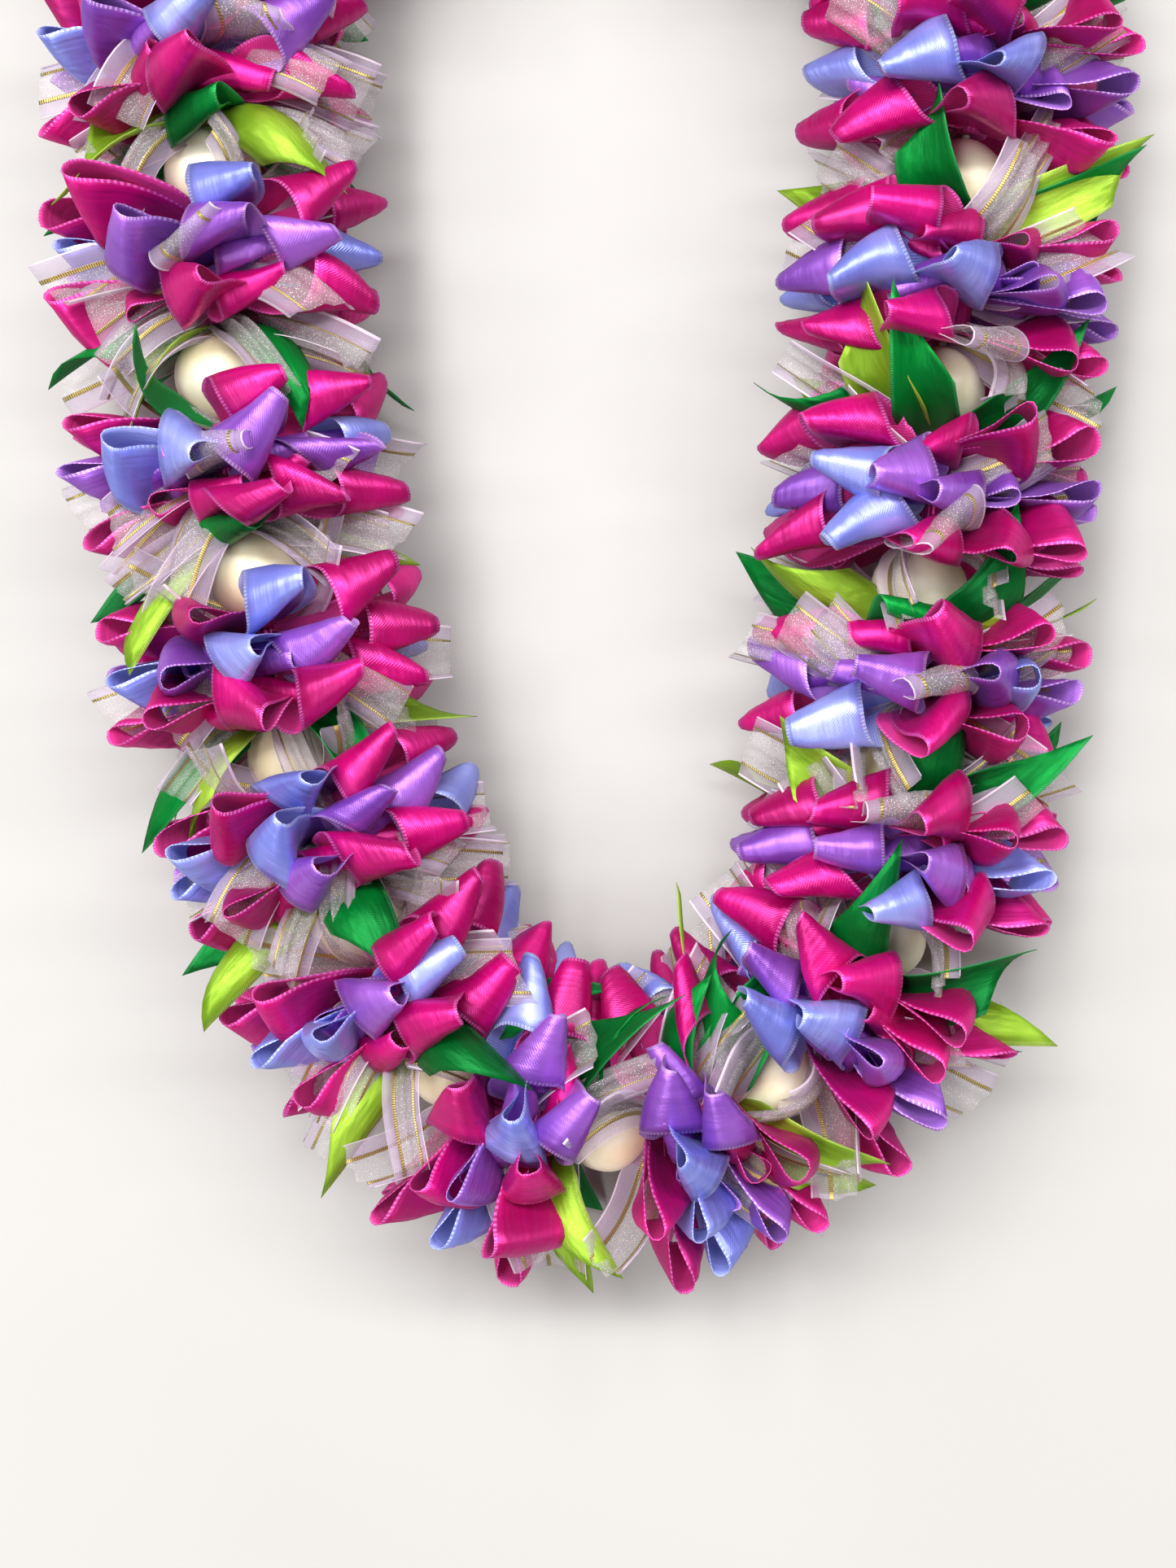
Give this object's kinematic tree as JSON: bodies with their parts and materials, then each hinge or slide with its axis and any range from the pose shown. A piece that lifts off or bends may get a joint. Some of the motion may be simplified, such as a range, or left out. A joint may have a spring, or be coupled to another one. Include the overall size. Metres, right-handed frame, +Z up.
{
  "type": "ribbon lei",
  "caption": "Closed garland of polished nuts on a cord with gathered satin and sheer ribbon between them, laid flat as a loop to be worn round the neck.",
  "frame": {"origin": "on the surface that the lei lies on, under the middle of its box", "axes": "+Z up from the surface, +Y along the loop's length towards the arch at the back of the neck, +X to the right as seen from above"},
  "size_m": [0.329, 0.536, 0.0935],
  "materials": {
    "cord": "matt cream twisted cord",
    "nut": "polished nut lacquered pearly ivory",
    "satin_magenta": "magenta satin ribbon",
    "satin_purple": "purple satin ribbon",
    "satin_periwinkle": "periwinkle blue satin ribbon",
    "satin_green": "dark green satin ribbon",
    "satin_lime": "lime green satin ribbon",
    "organza": "sheer lavender organza with silver glitter and gold braid lines"
  },
  "bodies": {
    "root": {"cord": "cord", "nut_00": "nut", "bloom_00": "satin_magenta", "spray_00": "satin_green", "nut_01": "nut", "bloom_01": "satin_magenta", "spray_01": "satin_green", "nut_02": "nut", "bloom_02": "satin_magenta", "spray_02": "satin_green", "nut_03": "nut", "bloom_03": "satin_magenta", "spray_03": "satin_green", "nut_04": "nut", "bloom_04": "satin_magenta", "spray_04": "satin_green", "nut_05": "nut", "bloom_05": "satin_magenta", "spray_05": "satin_green", "nut_06": "nut", "bloom_06": "satin_magenta", "spray_06": "satin_green", "nut_07": "nut", "bloom_07": "satin_magenta", "spray_07": "satin_green", "nut_08": "nut", "bloom_08": "satin_magenta", "spray_08": "satin_green", "nut_09": "nut", "bloom_09": "satin_magenta", "spray_09": "satin_green", "nut_10": "nut", "bloom_10": "satin_magenta", "spray_10": "satin_green", "nut_11": "nut", "bloom_11": "satin_magenta", "spray_11": "satin_green", "nut_12": "nut", "bloom_12": "satin_magenta", "spray_12": "satin_green", "nut_13": "nut", "bloom_13": "satin_magenta", "spray_13": "satin_green", "nut_14": "nut", "bloom_14": "satin_magenta", "spray_14": "satin_green", "nut_15": "nut", "bloom_15": "satin_magenta", "spray_15": "satin_green", "nut_16": "nut", "bloom_16": "satin_magenta", "spray_16": "satin_green", "nut_17": "nut", "bloom_17": "satin_magenta", "spray_17": "satin_green", "nut_18": "nut", "bloom_18": "satin_magenta", "spray_18": "satin_green"}
  },
  "joints": []
}
